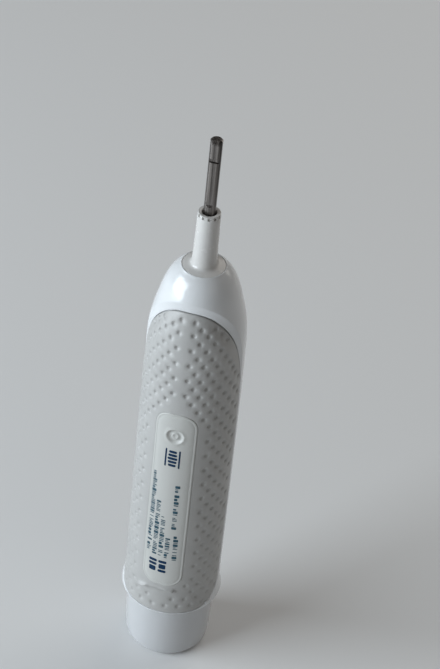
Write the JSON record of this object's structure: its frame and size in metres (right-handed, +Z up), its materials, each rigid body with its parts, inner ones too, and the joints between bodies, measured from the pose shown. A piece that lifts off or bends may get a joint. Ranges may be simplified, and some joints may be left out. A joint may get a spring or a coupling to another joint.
{
  "type": "electric toothbrush handle",
  "caption": "Upright handle of an oscillating electric toothbrush without its brush head: white housing, grey soft grip with a label plate, steel D-shaft on a neck, charging base.",
  "frame": {"origin": "centre of the base cap's flat underside, which it stands on", "axes": "+Z up along the drive shaft's axis; the front with the power button faces -Y, the grip and its label face +Y"},
  "size_m": [0.0324, 0.0324, 0.195],
  "materials": {
    "housing_white": "gloss moulded ABS",
    "grip_grey": "matt dimpled soft elastomer",
    "label_grey": "satin moulded plate",
    "button_white": "satin soft elastomer",
    "lens_clear": "translucent light guide",
    "shaft_steel": "ground steel",
    "steel": "plain steel",
    "nickel": "nickel-plated strip",
    "brass": "turned brass",
    "copper": "enamelled copper",
    "seal_black": "matt nitrile rubber",
    "chassis_grey": "glass-filled plastic",
    "frame_ivory": "acetal",
    "gear_nylon": "natural nylon",
    "battery_green": "shrink sleeve on a steel can",
    "board_green": "solder resist on glass-epoxy",
    "magnet_black": "ferrite or black plastic"
  },
  "bodies": {
    "handle": {"housing_shell": "housing_white", "back_grip": "grip_grey", "label_plate": "label_grey", "base_cap": "housing_white", "cap_seal": "seal_black", "coil_bobbin": "frame_ivory", "charging_coil": "copper", "coil_lead_left": "copper", "coil_lead_right": "copper", "chassis_frame": "chassis_grey", "battery_cell": "battery_green", "battery_contact_lower": "nickel", "battery_contact_upper": "nickel", "circuit_board": "board_green", "switch_body": "magnet_black", "charge_led": "lens_clear", "indicator_lens": "lens_clear", "button_bezel": "housing_white", "motor_can": "steel", "motor_end_cap": "frame_ivory", "motor_bush": "brass", "motor_magnet_left": "magnet_black", "motor_magnet_right": "magnet_black", "motor_brush_left": "copper", "motor_brush_right": "copper", "motor_terminal_left": "nickel", "motor_terminal_right": "nickel", "gear_axle": "steel", "gearbox_frame": "frame_ivory", "rear_bush": "brass", "neck_sleeve": "housing_white", "front_bush": "brass", "shaft_seal": "seal_black", "gearbox_screw_left": "steel", "gearbox_screw_right": "steel", "neck_screw_left": "steel", "neck_screw_right": "steel"},
    "drive": {"drive_shaft": "shaft_steel", "rocker_lever": "steel", "retaining_clip": "steel"},
    "crank": {"crank_gear": "gear_nylon", "crank_pin": "steel"},
    "rotor": {"motor_shaft": "steel", "commutator": "copper", "motor_armature": "steel", "motor_pinion": "brass"},
    "button": {"power_button": "button_white", "switch_plunger": "seal_black"}
  },
  "joints": [
    {"name": "drive_oscillation", "type": "hinge", "parent": "handle", "child": "drive", "pos_m": [0, 0, 0.126], "axis": [0, 0, 1], "range_deg": [-22.5, 22.5]},
    {"name": "rotor_spin", "type": "hinge", "parent": "handle", "child": "rotor", "pos_m": [0, 0.0022, 0.099], "axis": [0, 0, 1], "continuous": true},
    {"name": "crank_spin", "type": "hinge", "parent": "handle", "child": "crank", "pos_m": [0, -0.005, 0.117], "axis": [0, 0, 1], "continuous": true},
    {"name": "button_press", "type": "slide", "parent": "handle", "child": "button", "axis": [0, 1, 0], "range_m": [0, 0.0006], "stiffness_N_per_m": 1500, "springref_m": -0.0004}
  ],
  "couplings": [
    {"joint": "crank_spin", "follows": "rotor_spin", "ratio": -0.33333}
  ]
}
